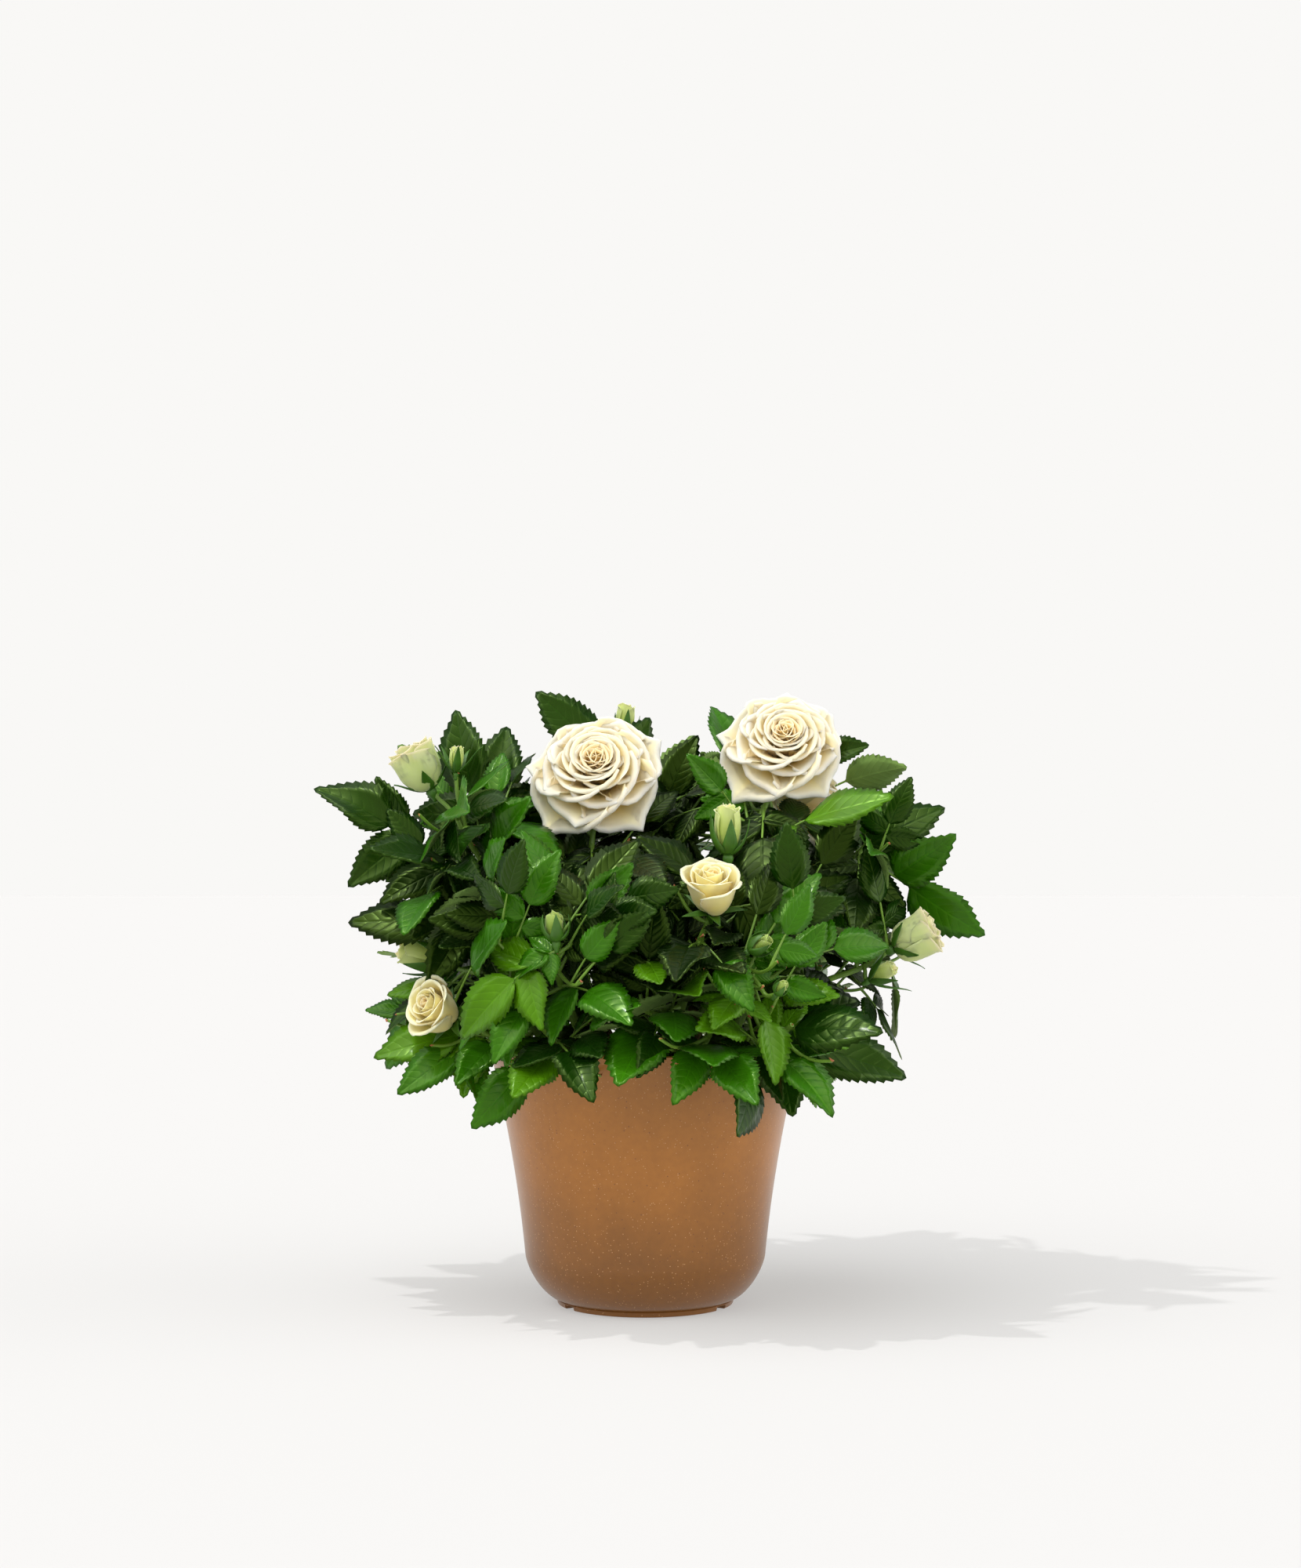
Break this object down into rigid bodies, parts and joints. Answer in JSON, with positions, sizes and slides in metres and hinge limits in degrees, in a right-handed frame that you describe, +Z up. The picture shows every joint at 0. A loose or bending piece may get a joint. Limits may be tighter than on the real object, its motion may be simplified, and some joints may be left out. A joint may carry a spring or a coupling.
{
  "type": "potted rose bush",
  "caption": "Miniature rose bush with cream-white double roses, buds and pinnate leaves, growing in a round speckled pot with a low notched foot.",
  "frame": {"origin": "centre of the pot's foot, on the surface that the pot stands on", "axes": "+Z up, +X along the plant's widest spread, front of the plant towards -Y"},
  "size_m": [0.3157, 0.2344, 0.2933],
  "materials": {
    "pot": "satin caramel brown moulded body with fine pale and dark specks",
    "growing_medium": "dark damp peat and coir crumb",
    "wood": "matte green-brown bark with prickles",
    "foliage": "half-gloss green leaves, cream petals"
  },
  "bodies": {
    "root": {"bough_back_left": "wood", "bough_back_middle": "wood", "bough_back_right": "wood", "bough_centre_front": "wood", "bough_far_left": "wood", "bough_far_right": "wood", "bough_left_front": "wood", "bough_left_high": "wood", "bough_left_low": "wood", "bough_middle_high": "wood", "bough_right_front": "wood", "bough_right_high": "wood", "bough_right_low": "wood", "growing_medium": "growing_medium", "pot": "pot", "shoot_back_lower_1": "foliage", "shoot_back_lower_2": "foliage", "shoot_back_lower_3": "foliage", "shoot_back_lower_4": "foliage", "shoot_back_lower_5": "foliage", "shoot_back_upper_1": "foliage", "shoot_back_upper_2": "foliage", "shoot_back_upper_3": "foliage", "shoot_back_upper_4": "foliage", "shoot_centre_rose": "foliage", "shoot_far_left": "foliage", "shoot_far_right": "foliage", "shoot_front_centre": "foliage", "shoot_front_left": "foliage", "shoot_front_right": "foliage", "shoot_front_rim": "foliage", "shoot_inner_left": "foliage", "shoot_inner_middle": "foliage", "shoot_inner_right": "foliage", "shoot_left_bud": "foliage", "shoot_left_middle": "foliage", "shoot_left_rose": "foliage", "shoot_lower_left_rose": "foliage", "shoot_right_bud": "foliage", "shoot_right_middle": "foliage", "shoot_right_rose": "foliage", "shoot_right_spray": "foliage", "shoot_round_bud": "foliage", "shoot_top_middle": "foliage", "shoot_upper_left": "foliage", "stem_back_left": "wood", "stem_back_right": "wood", "stem_front_left": "wood", "stem_front_right": "wood"}
  },
  "joints": []
}
